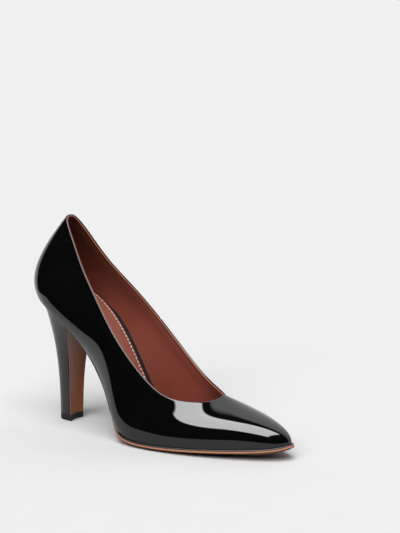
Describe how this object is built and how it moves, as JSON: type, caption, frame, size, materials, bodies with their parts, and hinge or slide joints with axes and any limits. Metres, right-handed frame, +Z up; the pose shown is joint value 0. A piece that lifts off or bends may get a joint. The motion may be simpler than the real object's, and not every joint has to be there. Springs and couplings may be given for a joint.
{
  "type": "high heel pump",
  "caption": "Women's closed pointed-toe court shoe, right foot, low-cut glossy black upper, tan leather lining and sole, slim high heel with a brown breast.",
  "frame": {"origin": "on the floor, under the middle of the shoe's length and width", "axes": "+X towards the toe, +Z up, +Y towards the inner side of the foot"},
  "size_m": [0.2357, 0.0747, 0.1659],
  "materials": {
    "patent_leather": "high-gloss patent",
    "lining_leather": "smooth matte",
    "sock_leather": "smooth satin",
    "sock_thread": "waxed thread",
    "stiffener": "impregnated felt",
    "interlining": "woven backing",
    "reinforcing_tape": "woven tape",
    "insole_fibre": "black-faced fibreboard",
    "shank_fibre": "pressed fibre",
    "steel": "plain",
    "cork": "granulated cork",
    "foam": "latex foam",
    "rand_leather": "black, waxed edge",
    "sole_leather": "smooth tan",
    "breast_leather": "smooth brown",
    "heel_plastic": "moulded",
    "lift_rubber": "matte"
  },
  "bodies": {
    "root": {"upper": "patent_leather", "lining": "lining_leather", "toe_puff": "stiffener", "heel_counter": "stiffener", "side_stays": "interlining", "seam_tape": "reinforcing_tape", "topline_tape": "reinforcing_tape", "insole_board": "insole_fibre", "shank_board": "shank_fibre", "shank": "steel", "shank_rivets": "steel", "bottom_filler": "cork", "sock_foam": "foam", "sock": "sock_leather", "sock_thread": "sock_thread", "rand": "rand_leather", "outsole": "sole_leather", "breast_flap": "breast_leather", "heel_core": "heel_plastic", "heel_cover": "patent_leather", "heel_tube": "steel", "heel_screw": "steel", "heel_nails": "steel", "top_lift": "lift_rubber", "lift_dowel": "steel"}
  },
  "joints": []
}
